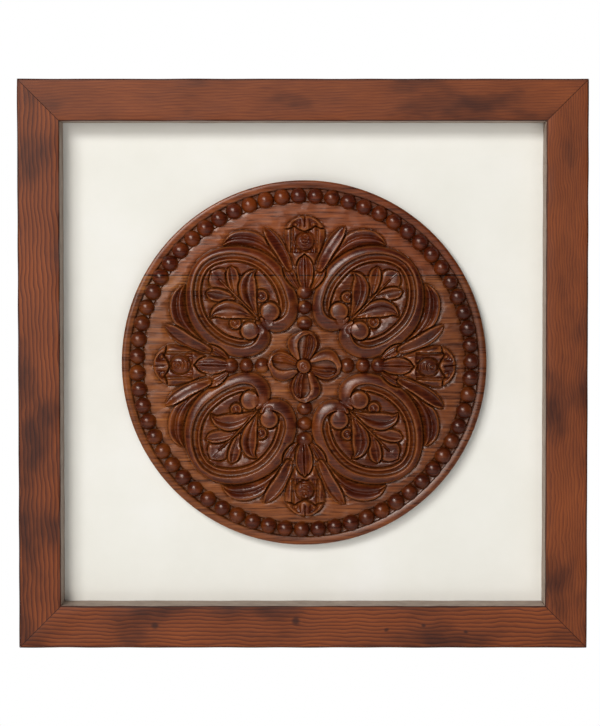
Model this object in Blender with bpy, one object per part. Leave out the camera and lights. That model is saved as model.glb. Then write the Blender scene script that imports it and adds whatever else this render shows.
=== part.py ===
"""Carved wall art: a square mitred frame, a backing board and a round carved medallion.

Axes: X is right, Z is up, the front faces -Y. The origin is the middle of the top rail's
back face, where the piece hangs on its wall. Lengths are in metres.
"""
import math

import bmesh
import bpy
from mathutils import Vector
from mathutils import geometry

# Frame.
OUTER_SIDE = 0.610
RAIL_WIDTH = 0.045
RAIL_DEPTH = 0.045
BOARD_RECESS = 0.032
REBATE_WIDTH = 0.012
ARRIS = 0.0015

# Backing board.
BOARD_THICKNESS = 0.008
BOARD_CLEARANCE = 0.001

# Gap that keeps touching pieces apart.
FIT_GAP = 0.0003

# Medallion: its radius, and heights of the carving above the board.
MEDALLION_RADIUS = 0.197
ROOT_HEIGHT = 0.007
GROUND_HEIGHT = 0.014
RIM_HEIGHT = 0.0165
SCROLL_HEIGHT = 0.0225
GROOVE_HEIGHT = 0.0165
LEAF_EDGE_HEIGHT = 0.0205
LEAF_FOLD_HEIGHT = 0.0175
PETAL_HEIGHT = 0.0240
BOSS_HEIGHT = 0.0260
HOOD_HEIGHT = 0.0230
DISC_SEGMENTS = 60

# Ring of beads, in shares of the medallion's radius. The first bead lies just over the +X
# side.
RING_BEADS = 63
RING_RADIUS = 0.915
RING_TURN = math.radians(0.52)
RING_BEAD_RADIAL = 0.0425
RING_BEAD_ALONG = 0.0450
CHANNEL_OUTER = 0.958
BEAD_HEIGHT = 0.0220
BEAD_SEGMENTS = 7
BEAD_LEVELS = 4
BEAD_MIDDLE_HEIGHT = 0.0130

# The pattern repeats four times. It was laid out a little low inside its ring of beads.
QUARTERS = 4
PATTERN_SHIFT = (0.002, -0.0135)
RING_SHIFT = (0.0, 0.0)

# Derived places.
HALF_SIDE = OUTER_SIDE / 2
BACK_LAND = RAIL_WIDTH - REBATE_WIDTH
CENTRE_Z = BACK_LAND / 2 - HALF_SIDE
REBATE_Y = BOARD_RECESS - RAIL_DEPTH
BOARD_FRONT_Y = REBATE_Y + FIT_GAP
CARVING_BACK_Y = BOARD_FRONT_Y - FIT_GAP

# Scroll band of one cartouche, one half, from its eye to the outer end.
# Rows: outward, sideways, half-width, in shares of the radius, on a diagonal.
SCROLL_ROWS = (
    (0.340, 0.014, 0.012),
    (0.315, 0.012, 0.018),
    (0.290, 0.018, 0.027),
    (0.262, 0.042, 0.034),
    (0.245, 0.075, 0.036),
    (0.242, 0.108, 0.034),
    (0.254, 0.150, 0.032),
    (0.290, 0.196, 0.030),
    (0.340, 0.228, 0.029),
    (0.410, 0.252, 0.028),
    (0.489, 0.259, 0.027),
    (0.560, 0.254, 0.026),
    (0.625, 0.232, 0.025),
    (0.690, 0.193, 0.024),
    (0.745, 0.140, 0.023),
    (0.785, 0.078, 0.022),
    (0.804, 0.000, 0.021),
)
SCROLL_RINGS = 24
SCROLL_PLAIN_RINGS = 3
SCROLL_INNER_RIDGE = 0.028
SCROLL_CROWN = 0.4
SCROLL_EDGE_DROP = 0.0035
RIDGE_RISE = 0.0025
RIDGE_FROM = 0.3
RIDGE_TOP = 0.8
RIDGE_TO = 1.1
EYE_PLACE = (0.345, 0.077)
EYE_RADIUS = 0.053
EYE_SEGMENTS = 10
EYE_TOP = 0.8

# Leaves inside a cartouche, rows as above, for the left side; the right side mirrors them.
SPRAY_LEAF = (
    (0.375, 0.006, 0.010),
    (0.425, 0.026, 0.028),
    (0.475, 0.050, 0.044),
    (0.518, 0.083, 0.049),
    (0.545, 0.122, 0.036),
    (0.552, 0.150, 0.019),
    (0.548, 0.175, 0.005),
)
SPRAY_LEAFLET = (
    (0.530, 0.012, 0.018),
    (0.575, 0.040, 0.033),
    (0.612, 0.064, 0.037),
    (0.642, 0.084, 0.031),
    (0.661, 0.099, 0.008),
)
SPRAY_SHIELD = (
    (0.570, -0.006, 0.010),
    (0.610, -0.006, 0.036),
    (0.665, -0.006, 0.060),
    (0.705, -0.006, 0.044),
    (0.728, -0.006, 0.005),
)
CURL_PLACE = (0.432, 0.100)
CURL_RADIUS = 0.035
CURL_SEGMENTS = 6

# Crescent leaf that lies against the outside of a cartouche.
CRESCENT_LEAF = (
    (0.470, 0.298, 0.010),
    (0.540, 0.307, 0.022),
    (0.610, 0.306, 0.038),
    (0.672, 0.288, 0.051),
    (0.722, 0.254, 0.053),
    (0.757, 0.216, 0.043),
    (0.780, 0.150, 0.005),
)

# Pieces on an axis, rows as above with the axis as the outward direction.
ARM_BEADS = (0.233, 0.319, 0.405)
ARM_BEAD_RADIAL = 0.0420
ARM_BEAD_ALONG = 0.0440
PALM_LEAF = (
    (0.438, -0.002, 0.030),
    (0.475, -0.003, 0.044),
    (0.520, -0.004, 0.050),
    (0.555, -0.004, 0.045),
    (0.582, -0.004, 0.031),
    (0.604, -0.004, 0.005),
)
PALM_SIDE_LEAF = (
    (0.430, 0.040, 0.014),
    (0.465, 0.062, 0.028),
    (0.500, 0.083, 0.032),
    (0.528, 0.104, 0.021),
    (0.545, 0.121, 0.005),
)
BLADE_LEAF = (
    (0.530, 0.086, 0.022),
    (0.565, 0.100, 0.031),
    (0.620, 0.126, 0.037),
    (0.680, 0.163, 0.039),
    (0.722, 0.194, 0.031),
    (0.757, 0.225, 0.005),
)
HOOD_SIDE = (
    (0.605, 0.080, 0.010),
    (0.680, 0.096, 0.016),
    (0.745, 0.098, 0.019),
)
BUD_PLACE = 0.679
BUD_RADIUS = 0.055
HOOD_CENTRE = 0.700
HOOD_RADIUS = 0.128
HOOD_FRONT = 0.748
HOOD_LEAST_WIDTH = 0.012
HOOD_NARROWING = 0.8
HOOD_REACH = math.radians(74)
HOOD_RINGS = 7
HOOD_EDGE_DROP = 0.004
HOOD_FRONT_DROP = 0.001
HOOD_CROWN = 0.45

# Petal of the middle flower: outward, sideways, half-width.
PETAL_ROWS = (
    (0.030, 0.000, 0.028),
    (0.070, 0.008, 0.056),
    (0.115, 0.010, 0.080),
    (0.155, 0.008, 0.078),
    (0.183, 0.006, 0.050),
    (0.196, 0.004, 0.014),
)
PETAL_FOLD_DROP = 0.002
PETAL_TIP_DROP = 0.002
PETAL_ROLL = (0.15, 0.65)
BOSS_RADIUS = 0.046
BOSS_SEGMENTS = 10

# Cross-sections of carved leaves: place in half-widths, further offset, height.
LEAF_SECTION = (
    (-1.0, 0.0, ROOT_HEIGHT),
    (-1.0, 0.0, LEAF_EDGE_HEIGHT),
    (0.0, 0.0, LEAF_FOLD_HEIGHT),
    (1.0, 0.0, LEAF_EDGE_HEIGHT),
    (1.0, 0.0, ROOT_HEIGHT),
)
KEEL_SECTION = (
    (-1.0, 0.0, ROOT_HEIGHT),
    (-1.0, 0.0, LEAF_FOLD_HEIGHT),
    (0.0, 0.0, LEAF_EDGE_HEIGHT),
    (1.0, 0.0, LEAF_FOLD_HEIGHT),
    (1.0, 0.0, ROOT_HEIGHT),
)

# Merge distance of the disc's middle point, and what counts as flat.
MERGE_DISTANCE = 0.00001
DISC_FLAT = math.radians(0.5)
CARVING_FLAT = math.radians(1.0)


def principled(name, red, green, blue, roughness):
    """Plain Principled BSDF material."""
    made = bpy.data.materials.new(name)
    made.use_nodes = True
    shader = made.node_tree.nodes["Principled BSDF"]
    shader.inputs["Base Color"].default_value = (red, green, blue, 1.0)
    shader.inputs["Roughness"].default_value = roughness
    return made


def link_mesh(name, bm, collection):
    """Object made from a finished bmesh, with its faces turned outward."""
    bmesh.ops.recalc_face_normals(bm, faces=bm.faces)
    mesh = bpy.data.meshes.new(name)
    bm.to_mesh(mesh)
    bm.free()
    made = bpy.data.objects.new(name, mesh)
    collection.objects.link(made)
    return made


def loft(name, rings, collection):
    """Closed solid through a row of rings of equal count, capped at both ends."""
    bm = bmesh.new()
    rows = []
    for ring in rings:
        rows.append([bm.verts.new(point) for point in ring])
    count = len(rows[0])
    for low, high in zip(rows, rows[1:]):
        for here in range(count):
            there = (here + 1) % count
            bm.faces.new((low[here], low[there], high[there], high[here]))
    bm.faces.new(rows[0])
    bm.faces.new(rows[-1])
    return link_mesh(name, bm, collection)


def make_rail(name, turn, material):
    """One mitred rail. The section runs from the outer edge inward, front and back."""
    section = (
        (0.0, 0.0),
        (0.0, ARRIS - RAIL_DEPTH),
        (ARRIS, -RAIL_DEPTH),
        (RAIL_WIDTH - ARRIS, -RAIL_DEPTH),
        (RAIL_WIDTH, ARRIS - RAIL_DEPTH),
        (RAIL_WIDTH, REBATE_Y),
        (BACK_LAND, REBATE_Y),
        (BACK_LAND, 0.0),
    )
    rings = []
    for side in (-1, 1):
        ring = []
        for inset, depth in section:
            along = side * (HALF_SIDE - inset - FIT_GAP / math.sqrt(2))
            out = HALF_SIDE - inset
            x = along * math.cos(turn) - out * math.sin(turn)
            z = along * math.sin(turn) + out * math.cos(turn)
            ring.append((x, depth, z + CENTRE_Z))
        rings.append(ring)
    rail = loft(name, rings, model)
    rail.data.materials.append(material)
    return rail


def make_board(material):
    """Flat board held in the rebate of the four rails."""
    half = HALF_SIDE - BACK_LAND - BOARD_CLEARANCE
    rings = []
    for depth in (BOARD_FRONT_Y, BOARD_FRONT_Y + BOARD_THICKNESS):
        ring = []
        for x, z in ((-half, -half), (half, -half), (half, half), (-half, half)):
            ring.append((x, depth, z + CENTRE_Z))
        rings.append(ring)
    board = loft("backing_board", rings, model)
    board.data.materials.append(material)
    return board


def on_medallion(outward, sideways, height, turn, shift):
    """Point given in shares of the radius along a direction, and a height over the board."""
    x = outward * math.cos(turn) - sideways * math.sin(turn) + shift[0]
    z = outward * math.sin(turn) + sideways * math.cos(turn) + shift[1]
    return Vector((
        x * MEDALLION_RADIUS,
        CARVING_BACK_Y - height,
        z * MEDALLION_RADIUS + CENTRE_Z,
    ))


def make_disc(material):
    """Turned disc: flat back, raised rim and the channel for the ring of beads."""
    profile = (
        (0.0, 0.0),
        (MEDALLION_RADIUS, 0.0),
        (MEDALLION_RADIUS, RIM_HEIGHT - ARRIS),
        (MEDALLION_RADIUS - ARRIS, RIM_HEIGHT),
        (MEDALLION_RADIUS * CHANNEL_OUTER, RIM_HEIGHT),
        (MEDALLION_RADIUS * CHANNEL_OUTER, GROUND_HEIGHT),
        (0.0, GROUND_HEIGHT),
    )
    bm = bmesh.new()
    verts = [bm.verts.new((x, CARVING_BACK_Y - rise, CENTRE_Z)) for x, rise in profile]
    for first, second in zip(verts, verts[1:]):
        bm.edges.new((first, second))
    bmesh.ops.spin(
        bm,
        geom=list(bm.verts) + list(bm.edges),
        cent=(0.0, 0.0, CENTRE_Z),
        axis=(0.0, 1.0, 0.0),
        angle=2 * math.pi,
        steps=DISC_SEGMENTS,
        use_duplicate=False,
    )
    bmesh.ops.remove_doubles(bm, verts=bm.verts, dist=MERGE_DISTANCE)
    bmesh.ops.dissolve_limit(
        bm, angle_limit=DISC_FLAT, verts=bm.verts, edges=bm.edges)
    disc = link_mesh("carved_medallion", bm, model)
    disc.data.materials.append(material)
    return disc


def smooth_rows(rows, count):
    """Rows read at even steps along a curve through the given rows."""
    points = [Vector(row) for row in rows]
    dense = []
    last = len(points) - 1
    for here in range(last):
        start = points[here]
        end = points[here + 1]
        before = points[max(here - 1, 0)]
        after = points[min(here + 2, last)]
        handle_a = start + (end - before) / 6
        handle_b = end - (after - start) / 6
        dense += geometry.interpolate_bezier(start, handle_a, handle_b, end, 9)[:-1]
    dense.append(points[last])
    travel = [0.0]
    for first, second in zip(dense, dense[1:]):
        travel.append(travel[-1] + (second - first).length)
    picked = []
    place = 0
    for step in range(count):
        wanted = travel[-1] * step / (count - 1)
        while place < len(dense) - 2 and travel[place + 1] < wanted:
            place += 1
        span = travel[place + 1] - travel[place]
        share = (wanted - travel[place]) / span
        picked.append(dense[place].lerp(dense[place + 1], share))
    return picked


def across(rows, here):
    """Unit direction to the left of the path at one row, in shares of the radius."""
    ahead = rows[min(here + 1, len(rows) - 1)]
    behind = rows[max(here - 1, 0)]
    run = Vector((ahead.x - behind.x, ahead.y - behind.y)).normalized()
    return Vector((-run.y, run.x))


def swept(name, rows, sections, turn, flip):
    """Carved strip with one section for each row, on the left or mirrored to the right."""
    rings = []
    for here, row in enumerate(rows):
        left = across(rows, here)
        ring = []
        for half_widths, extra, height in sections[here]:
            offset = half_widths * row.z + extra
            outward = row.x + left.x * offset
            sideways = (row.y + left.y * offset) * flip
            ring.append(on_medallion(outward, sideways, height, turn, PATTERN_SHIFT))
        rings.append(ring)
    return loft(name, rings, tools)


def carved_leaf(name, rows, count, section, turn, flip):
    """Leaf with the same section from end to end."""
    path = smooth_rows(rows, count)
    return swept(name, path, [section] * count, turn, flip)


def scroll_section(grow):
    """Rounded roll outside, then a groove and a thin ridge, grown by a share of its width."""
    inner = SCROLL_INNER_RIDGE * grow
    return (
        (1.0, 0.0, ROOT_HEIGHT),
        (1.0, 0.0, SCROLL_HEIGHT - SCROLL_EDGE_DROP),
        (SCROLL_CROWN, 0.0, SCROLL_HEIGHT),
        (-SCROLL_CROWN, 0.0, SCROLL_HEIGHT),
        (-1.0, -RIDGE_FROM * inner, GROOVE_HEIGHT),
        (-1.0, -RIDGE_TOP * inner, GROOVE_HEIGHT + RIDGE_RISE),
        (-1.0, -RIDGE_TO * inner, ROOT_HEIGHT),
    )


def petal_section(sink):
    """Petal with a fat roll on its left and a hollow on its right, lowered by the sink."""
    return (
        (-1.0, 0.0, ROOT_HEIGHT),
        (-1.0, 0.0, LEAF_EDGE_HEIGHT - sink),
        (-PETAL_ROLL[0], 0.0, LEAF_EDGE_HEIGHT - PETAL_FOLD_DROP),
        (PETAL_ROLL[0], 0.0, PETAL_HEIGHT - sink),
        (PETAL_ROLL[1], 0.0, PETAL_HEIGHT - sink),
        (1.0, 0.0, LEAF_EDGE_HEIGHT - sink),
        (1.0, 0.0, ROOT_HEIGHT),
    )


def make_knob(name, place, radial, along, turn, shift):
    """Bead: a low sphere with its middle just under the ground of the carving."""
    bm = bmesh.new()
    bmesh.ops.create_uvsphere(
        bm, u_segments=BEAD_SEGMENTS, v_segments=BEAD_LEVELS, radius=1.0)
    rise = BEAD_HEIGHT - BEAD_MIDDLE_HEIGHT
    for vert in bm.verts:
        outward = place + vert.co.x * radial
        sideways = vert.co.y * along
        level = BEAD_MIDDLE_HEIGHT + vert.co.z * rise
        vert.co = on_medallion(outward, sideways, level, turn, shift)
    return link_mesh(name, bm, tools)


def make_eye(name, place, radius, height, turn, segments):
    """Flat round knob with an eased edge."""
    rings = []
    for share, level in ((1.0, ROOT_HEIGHT), (1.0, height - ARRIS), (EYE_TOP, height)):
        ring = []
        for step in range(segments):
            angle = 2 * math.pi * step / segments
            outward = place[0] + math.cos(angle) * radius * share
            sideways = place[1] + math.sin(angle) * radius * share
            ring.append(on_medallion(outward, sideways, level, turn, PATTERN_SHIFT))
        rings.append(ring)
    return loft(name, rings, tools)


def make_hood(name, turn):
    """Rounded cap over the bud at the outer end of an axis."""
    rings = []
    for step in range(HOOD_RINGS):
        angle = HOOD_REACH * (2 * step / (HOOD_RINGS - 1) - 1)
        outer_a = HOOD_CENTRE + HOOD_RADIUS * math.cos(angle)
        outer_b = HOOD_RADIUS * math.sin(angle)
        front_a = min(HOOD_FRONT, outer_a - HOOD_LEAST_WIDTH)
        front_b = outer_b * HOOD_NARROWING
        ring = []
        for share, height in (
            (0.0, ROOT_HEIGHT),
            (0.0, HOOD_HEIGHT - HOOD_EDGE_DROP),
            (HOOD_CROWN, HOOD_HEIGHT),
            (1.0, HOOD_HEIGHT - HOOD_FRONT_DROP),
            (1.0, ROOT_HEIGHT),
        ):
            outward = outer_a + (front_a - outer_a) * share
            sideways = outer_b + (front_b - outer_b) * share
            ring.append(on_medallion(outward, sideways, height, turn, PATTERN_SHIFT))
        rings.append(ring)
    return loft(name, rings, tools)


def carve_ring():
    """Ring of beads inside the rim."""
    for number in range(RING_BEADS):
        turn = RING_TURN + 2 * math.pi * number / RING_BEADS
        make_knob(
            "ring_bead_%02d" % number, RING_RADIUS, RING_BEAD_RADIAL, RING_BEAD_ALONG,
            turn, RING_SHIFT)


def carve_cartouche(quarter):
    """Scroll band, its two eyes and the leaves inside and against it."""
    turn = (quarter + 0.5) * 2 * math.pi / QUARTERS
    label = "%d" % quarter
    other_half = [(u, -v, half) for u, v, half in reversed(SCROLL_ROWS[:-1])]
    loop = smooth_rows(list(SCROLL_ROWS) + other_half, SCROLL_RINGS)
    sections = []
    for here in range(SCROLL_RINGS):
        from_end = min(here, SCROLL_RINGS - 1 - here)
        grow = max(0, from_end - SCROLL_PLAIN_RINGS) / SCROLL_PLAIN_RINGS
        sections.append(scroll_section(min(1.0, grow)))
    swept("scroll_" + label, loop, sections, turn, -1)
    carved_leaf("shield_" + label, SPRAY_SHIELD, 4, KEEL_SECTION, turn, 1)
    for flip in (1, -1):
        side = "_%s_%d" % (label, flip)
        eye = (EYE_PLACE[0], EYE_PLACE[1] * flip)
        make_eye("eye" + side, eye, EYE_RADIUS, SCROLL_HEIGHT, turn, EYE_SEGMENTS)
        curl = (CURL_PLACE[0], CURL_PLACE[1] * flip)
        make_eye("curl" + side, curl, CURL_RADIUS, LEAF_EDGE_HEIGHT, turn, CURL_SEGMENTS)
        carved_leaf("leaf" + side, SPRAY_LEAF, 6, LEAF_SECTION, turn, flip)
        carved_leaf("leaflet" + side, SPRAY_LEAFLET, 4, LEAF_SECTION, turn, flip)
        carved_leaf("crescent" + side, CRESCENT_LEAF, 5, LEAF_SECTION, turn, flip)


def carve_axis(quarter):
    """Three beads, the palmette, the hooded bud and its blades, and one petal."""
    turn = quarter * 2 * math.pi / QUARTERS
    label = "%d" % quarter
    for number, place in enumerate(ARM_BEADS):
        make_knob(
            "arm_bead_%s_%d" % (label, number), place, ARM_BEAD_RADIAL, ARM_BEAD_ALONG,
            turn, PATTERN_SHIFT)
    carved_leaf("palm_" + label, PALM_LEAF, 5, LEAF_SECTION, turn, 1)
    make_knob("bud_" + label, BUD_PLACE, BUD_RADIUS, BUD_RADIUS, turn, PATTERN_SHIFT)
    make_hood("hood_" + label, turn)
    petal = smooth_rows(PETAL_ROWS, len(PETAL_ROWS))
    sections = [petal_section(0.0)] * (len(petal) - 1) + [petal_section(PETAL_TIP_DROP)]
    swept("petal_" + label, petal, sections, turn, 1)
    for flip in (1, -1):
        side = "_%s_%d" % (label, flip)
        carved_leaf("palm_side" + side, PALM_SIDE_LEAF, 4, LEAF_SECTION, turn, flip)
        carved_leaf("blade" + side, BLADE_LEAF, 5, LEAF_SECTION, turn, flip)
        carved_leaf("hood_side" + side, HOOD_SIDE, 3, KEEL_SECTION, turn, flip)


for leftover in list(bpy.data.objects):
    bpy.data.objects.remove(leftover, do_unlink=True)

model = bpy.data.collections.new("carved_wall_art")
bpy.context.scene.collection.children.link(model)
tools = bpy.data.collections.new("carving_solids")
bpy.context.scene.collection.children.link(tools)

frame_wood = principled("stained_frame_wood", 0.195, 0.055, 0.020, 0.55)
cream_paint = principled("cream_painted_board", 0.835, 0.845, 0.775, 0.60)
carved_wood = principled("carved_wood", 0.160, 0.055, 0.025, 0.42)

make_rail("frame_rail_top", 0.0, frame_wood)
make_rail("frame_rail_left", math.pi / 2, frame_wood)
make_rail("frame_rail_bottom", math.pi, frame_wood)
make_rail("frame_rail_right", -math.pi / 2, frame_wood)
make_board(cream_paint)

medallion = make_disc(carved_wood)
carve_ring()
for quarter in range(QUARTERS):
    carve_cartouche(quarter)
    carve_axis(quarter)
make_eye("boss", (0.0, 0.0), BOSS_RADIUS, BOSS_HEIGHT, 0.0, BOSS_SEGMENTS)

for solid in tools.objects:
    solid.hide_render = True
    solid.display_type = "WIRE"

join = medallion.modifiers.new("join_carving", "BOOLEAN")
join.operation = "UNION"
join.solver = "EXACT"
join.operand_type = "COLLECTION"
join.collection = tools
join.use_self = True
tidy = medallion.modifiers.new("merge_flat_faces", "DECIMATE")
tidy.decimate_type = "DISSOLVE"
tidy.angle_limit = CARVING_FLAT
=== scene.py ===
"""Carved wall art: a stained pine frame round a cream board with a carved wood medallion.

X is right, Z is up and the front faces -Y. The origin is the middle of the top rail's back.
"""

import math

import bmesh
import bpy
import numpy as np
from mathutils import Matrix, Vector


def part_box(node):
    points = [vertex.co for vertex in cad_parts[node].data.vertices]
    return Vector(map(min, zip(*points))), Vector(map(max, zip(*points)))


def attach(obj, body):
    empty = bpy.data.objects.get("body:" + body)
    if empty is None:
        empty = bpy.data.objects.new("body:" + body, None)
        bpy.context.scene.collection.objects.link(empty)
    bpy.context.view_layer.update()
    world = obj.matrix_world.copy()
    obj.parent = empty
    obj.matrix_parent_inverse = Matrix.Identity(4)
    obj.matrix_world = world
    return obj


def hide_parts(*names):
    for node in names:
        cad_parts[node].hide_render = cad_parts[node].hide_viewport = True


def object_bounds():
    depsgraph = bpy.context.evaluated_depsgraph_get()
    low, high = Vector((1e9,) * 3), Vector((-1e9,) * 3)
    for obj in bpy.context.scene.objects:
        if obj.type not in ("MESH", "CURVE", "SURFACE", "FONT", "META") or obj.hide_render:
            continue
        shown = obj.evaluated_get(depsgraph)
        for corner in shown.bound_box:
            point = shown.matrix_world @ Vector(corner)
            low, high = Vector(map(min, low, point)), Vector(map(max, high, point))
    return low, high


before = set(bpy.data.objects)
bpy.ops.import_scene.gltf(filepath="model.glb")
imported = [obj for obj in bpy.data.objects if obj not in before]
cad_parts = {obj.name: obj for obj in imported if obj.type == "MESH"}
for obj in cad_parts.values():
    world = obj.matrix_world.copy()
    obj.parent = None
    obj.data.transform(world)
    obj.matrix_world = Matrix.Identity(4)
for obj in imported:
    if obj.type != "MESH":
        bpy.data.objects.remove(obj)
CAD_BOX = [list(corner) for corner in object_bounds()]


# Camera: at the photograph's place, a little above the middle and right of it, two metres
# from the front of the frame. The lens shift stands for the photograph's own framing.
BOARD_LOW, BOARD_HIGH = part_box("backing_board")
CARVING_LOW, CARVING_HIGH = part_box("carved_medallion")
MIDDLE_Z = (CAD_BOX[0][2] + CAD_BOX[1][2]) / 2
FRONT_Y = CAD_BOX[0][1]
CAMERA_FROM_MIDDLE = (0.013, 0.122)
CAMERA_DISTANCE = 2.0
CAMERA_TILT = math.radians(1.683)

camera_data = bpy.data.cameras.new("view_camera")
camera_data.lens = 92.81
camera_data.shift_x = -0.0208
camera_data.shift_y = -0.0793
camera_data.clip_end = 60
view_camera = bpy.data.objects.new("view_camera", camera_data)
view_camera.location = (
    CAMERA_FROM_MIDDLE[0], FRONT_Y - CAMERA_DISTANCE, MIDDLE_Z + CAMERA_FROM_MIDDLE[1])
view_camera.rotation_euler = (math.pi / 2 - CAMERA_TILT, 0, 0)
bpy.context.scene.collection.objects.link(view_camera)
bpy.context.scene.camera = view_camera


# Backing board: an 8 mm board behind the opening, brushed with two coats of cream emulsion.
# It is glued into the rails' rebate; the paint is matt with soft brush marks.
def linear(code, alpha=1.0):
    """Linear colour for an sRGB hex code."""
    shares = [int(code[at:at + 2], 16) / 255 for at in (0, 2, 4)]
    return tuple(
        s / 12.92 if s <= 0.04045 else ((s + 0.055) / 1.055) ** 2.4 for s in shares
    ) + (alpha,)


def add_node(tree, kind, settings=None, links=None):
    """Node of that kind with its settings, values by socket, and links from other nodes."""
    node = tree.nodes.new(kind)
    for name, value in (settings or {}).items():
        if isinstance(name, str) and hasattr(node, name):
            setattr(node, name, value)
        else:
            node.inputs[name].default_value = value
    for name, source in (links or {}).items():
        tree.links.new(source, node.inputs[name])
    return node


def fill_ramp(ramp, stops):
    """Colour ramp with the given places and colours."""
    elements = ramp.color_ramp.elements
    while len(elements) > 1:
        elements.remove(elements[-1])
    elements[0].position = stops[0][0]
    elements[0].color = linear(stops[0][1])
    for place, code in stops[1:]:
        elements.new(place).color = linear(code)


def new_material(name):
    """Material with its node tree and Principled shader."""
    made = bpy.data.materials.new(name)
    made.use_nodes = True
    return made, made.node_tree, made.node_tree.nodes["Principled BSDF"]


def mesh_object(name, verts, faces, material, smooth=True):
    """Object at the origin from plain lists of points and faces."""
    mesh = bpy.data.meshes.new(name)
    mesh.from_pydata([tuple(v) for v in verts], [], [tuple(f) for f in faces])
    mesh.validate()
    mesh.polygons.foreach_set("use_smooth", [smooth] * len(mesh.polygons))
    mesh.materials.append(material)
    made = bpy.data.objects.new(name, mesh)
    bpy.context.scene.collection.objects.link(made)
    return made


BRUSH_MARK = 0.0035
BRUSH_STRETCH = 0.12
STAIN_PER_METRE = 9.0
BOARD_EASE = 0.0006

# Cream emulsion: matt, brushed from side to side, with faint uneven staining.
cream_emulsion, tree, shader = new_material("cream_emulsion_paint")
coords = add_node(tree, "ShaderNodeTexCoord")
brush_map = add_node(
    tree, "ShaderNodeMapping", {"Scale": (BRUSH_STRETCH, 1.0, 1.0)},
    {"Vector": coords.outputs["Object"]})
brush = add_node(
    tree, "ShaderNodeTexNoise",
    {"Scale": 1 / BRUSH_MARK, "Detail": 3.0, "Roughness": 0.5},
    {"Vector": brush_map.outputs[0]})
stain = add_node(
    tree, "ShaderNodeTexNoise",
    {"Scale": STAIN_PER_METRE, "Detail": 4.0, "Roughness": 0.6},
    {"Vector": coords.outputs["Object"]})
paint_tone = add_node(tree, "ShaderNodeValToRGB", None, {"Fac": stain.outputs["Fac"]})
fill_ramp(paint_tone, ((0.30, "E3E3DB"), (0.55, "E7E7E0"), (0.75, "EAEAE5")))
tree.links.new(paint_tone.outputs[0], shader.inputs["Base Color"])
shader.inputs["Roughness"].default_value = 0.62
brush_bump = add_node(
    tree, "ShaderNodeBump", {"Strength": 0.25, "Distance": 0.0002},
    {"Height": brush.outputs["Fac"]})
tree.links.new(brush_bump.outputs[0], shader.inputs["Normal"])

board_mesh = bmesh.new()
bmesh.ops.create_cube(board_mesh, size=1.0)
for vert in board_mesh.verts:
    for axis in range(3):
        low, high = BOARD_LOW[axis], BOARD_HIGH[axis]
        vert.co[axis] = (low + high) / 2 + vert.co[axis] * (high - low)
bmesh.ops.bevel(
    board_mesh, geom=list(board_mesh.edges), offset=BOARD_EASE, segments=2, affect="EDGES")
painted_mesh = bpy.data.meshes.new("painted_board")
board_mesh.to_mesh(painted_mesh)
board_mesh.free()
painted_mesh.materials.append(cream_emulsion)
painted_board = bpy.data.objects.new("painted_board", painted_mesh)
bpy.context.scene.collection.objects.link(painted_board)
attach(painted_board, "root")
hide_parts("backing_board")


# Carved medallion: one round panel glued up from planks, turned, then carved by hand with
# gouges and stained. It is cut as a height map in millimetres over shares of its radius,
# wrapped on a round mesh, and joined to the beads. It is glued to the board.
RADIUS = (CARVING_HIGH[0] - CARVING_LOW[0]) / 2
CARVING_SHIFT = (0.0012, 0.0006)
CARVING_X = CARVING_SHIFT[0]
CARVING_Z = (CARVING_LOW[2] + CARVING_HIGH[2]) / 2 + CARVING_SHIFT[1]
CARVING_BACK_Y = CARVING_HIGH[1]
DESIGN_SHIFT = (0.002, -0.0135)
MAP_SIDE = 861
MAP_REACH = 1.01
GROUND = 14.0
CHANNEL = 12.4
CHANNEL_FROM = 0.878
CUT_FLOOR = 13.2
RIM = 16.5
MOAT = 0.009
WALL = 0.0065
HAND_WANDER = 0.003
RING_AT = 0.915
ARM_FIRST = 0.233
ARM_STEP = 0.086
NO_GROOVE = 30.0
THIN_MOAT = 0.003
draws = np.random.default_rng(11)


def smooth(value):
    """Smooth step from 0 to 1."""
    value = np.clip(value, 0.0, 1.0)
    return value * value * (3 - 2 * value)


def ripple(x, y, wave, count=22):
    """Even random undulation of about unit size with the given wave length."""
    total = np.zeros_like(x)
    for _ in range(count):
        angle = draws.uniform(0, math.pi)
        length = wave * draws.uniform(0.7, 1.5)
        phase = draws.uniform(0, 2 * math.pi)
        run = x * math.cos(angle) + y * math.sin(angle)
        total += np.sin(run * 2 * math.pi / length + phase)
    return total / math.sqrt(count / 2)


ticks = np.linspace(-MAP_REACH, MAP_REACH, MAP_SIDE)
PLAIN_X, PLAIN_Y = np.meshgrid(ticks, ticks)
MAP_X = PLAIN_X - DESIGN_SHIFT[0] + HAND_WANDER * ripple(PLAIN_X, PLAIN_Y, 0.5)
MAP_Y = PLAIN_Y - DESIGN_SHIFT[1] + HAND_WANDER * ripple(PLAIN_X, PLAIN_Y, 0.5)
from_centre = np.hypot(PLAIN_X, PLAIN_Y)
height = np.full_like(PLAIN_X, GROUND)
# Low waves that the gouge leaves on the ground, and the channel that the beads stand in.
height += 0.10 * ripple(PLAIN_X, PLAIN_Y, 0.08) + 0.05 * ripple(PLAIN_X, PLAIN_Y * 3, 0.07)
height -= (GROUND - CHANNEL) * smooth((from_centre - CHANNEL_FROM) / 0.010)


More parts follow.
